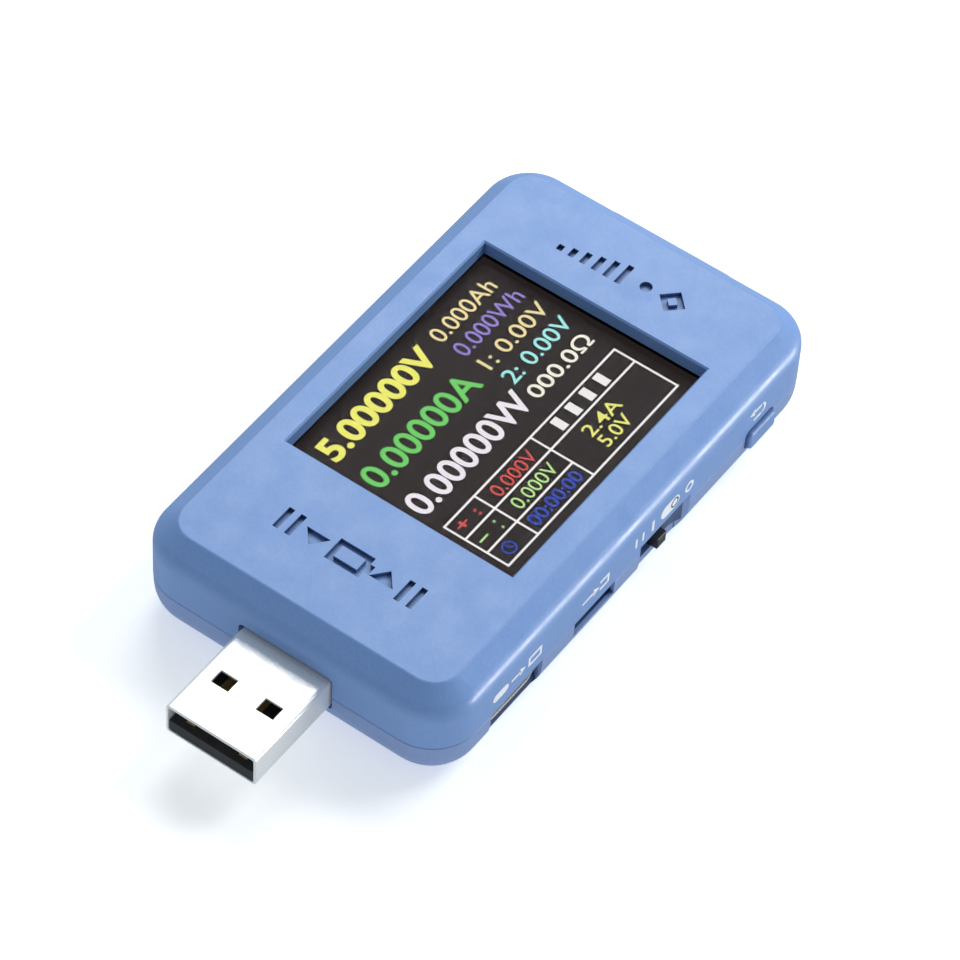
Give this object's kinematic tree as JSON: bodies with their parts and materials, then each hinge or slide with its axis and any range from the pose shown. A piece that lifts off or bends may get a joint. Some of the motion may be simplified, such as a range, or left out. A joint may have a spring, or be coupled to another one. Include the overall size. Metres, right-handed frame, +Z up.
{
  "type": "usb power meter",
  "caption": "Pocket USB power meter: a blue moulded housing with a display window, a USB-A plug at one end, a USB-A socket at the other, side sockets, push buttons and a slide switch.",
  "frame": {"origin": "middle of the whole object's footprint, on the flat underside", "axes": "+X from the USB-A plug to the USB-A socket, +Y away from the side with the slide switch, +Z up through the display"},
  "size_m": [0.0856, 0.0434, 0.0142],
  "materials": {
    "housing_plastic": "fine spark-eroded matt, blue",
    "button_plastic": "fine matt, blue",
    "port_steel": "nickel-plated sheet, satin",
    "plug_steel": "nickel-plated sheet, bright satin",
    "black_plastic": "black moulded nylon",
    "white_plastic": "white moulded plastic",
    "gold_contact": "gold-plated spring contact",
    "clear_lens": "clear acrylic window",
    "display_glass": "dark glass panel",
    "ribbon_film": "amber polyimide film",
    "foam": "black closed-cell foam",
    "circuit_board": "blue solder mask on glass laminate",
    "screw_steel": "black-zinc self-tapping screws",
    "chip_epoxy": "moulded black epoxy",
    "can_metal": "plated metal can",
    "ceramic": "fired ceramic body",
    "ferrite": "pressed ferrite powder",
    "shunt_alloy": "copper-manganese strip"
  },
  "bodies": {
    "housing": {"back_switch_body": "black_plastic", "boost_regulator": "chip_epoxy", "bottom_cover": "housing_plastic", "bulk_capacitors": "ceramic", "ceramic_capacitors": "ceramic", "charge_controller": "chip_epoxy", "crystal": "can_metal", "current_shunt": "shunt_alloy", "data_usb_c_contacts": "gold_contact", "data_usb_c_shell": "port_steel", "data_usb_c_tongue": "black_plastic", "display_foam_pads": "foam", "display_lens": "clear_lens", "housing_screws": "screw_steel", "input_usb_c_contacts": "gold_contact", "input_usb_c_shell": "port_steel", "input_usb_c_tongue": "black_plastic", "lcd_backlight_frame": "white_plastic", "lcd_light_guide": "white_plastic", "lcd_panel": "display_glass", "lcd_ribbon": "ribbon_film", "left_switch_body": "black_plastic", "lens_gasket": "foam", "load_switches": "chip_epoxy", "main_board": "circuit_board", "measurement_converter": "chip_epoxy", "memory_chip": "chip_epoxy", "micro_usb_contacts": "gold_contact", "micro_usb_shell": "port_steel", "micro_usb_tongue": "black_plastic", "microcontroller": "chip_epoxy", "ok_switch_body": "black_plastic", "output_usb_c_contacts": "gold_contact", "output_usb_c_shell": "port_steel", "output_usb_c_tongue": "black_plastic", "power_inductor": "ferrite", "resistors": "chip_epoxy", "ribbon_connector": "black_plastic", "right_switch_body": "black_plastic", "slide_switch_base": "black_plastic", "slide_switch_frame": "port_steel", "top_cover": "housing_plastic", "usb_a_plug_contacts": "gold_contact", "usb_a_plug_shell": "plug_steel", "usb_a_plug_tongue": "black_plastic", "usb_a_socket_contacts": "gold_contact", "usb_a_socket_shell": "port_steel", "usb_a_socket_tongue": "black_plastic"},
    "back_button": {"back_button_cap": "button_plastic", "back_switch_plunger": "white_plastic"},
    "left_button": {"left_button_cap": "button_plastic", "left_switch_plunger": "white_plastic"},
    "ok_button": {"ok_button_cap": "button_plastic", "ok_switch_plunger": "white_plastic"},
    "right_button": {"right_button_cap": "button_plastic", "right_switch_plunger": "white_plastic"},
    "mode_slider": {"slide_switch_slider": "black_plastic"}
  },
  "joints": [
    {"name": "back_button_press", "type": "slide", "parent": "housing", "child": "back_button", "axis": [0, 1, 0], "range_m": [0, 0.0003], "stiffness_N_per_m": 3000},
    {"name": "left_button_press", "type": "slide", "parent": "housing", "child": "left_button", "axis": [0, -1, 0], "range_m": [0, 0.0003], "stiffness_N_per_m": 3000},
    {"name": "ok_button_press", "type": "slide", "parent": "housing", "child": "ok_button", "axis": [0, -1, 0], "range_m": [0, 0.0003], "stiffness_N_per_m": 3000},
    {"name": "right_button_press", "type": "slide", "parent": "housing", "child": "right_button", "axis": [0, -1, 0], "range_m": [0, 0.0003], "stiffness_N_per_m": 3000},
    {"name": "mode_slide", "type": "slide", "parent": "housing", "child": "mode_slider", "axis": [-1, 0, 0], "range_m": [0, 0.002]}
  ]
}
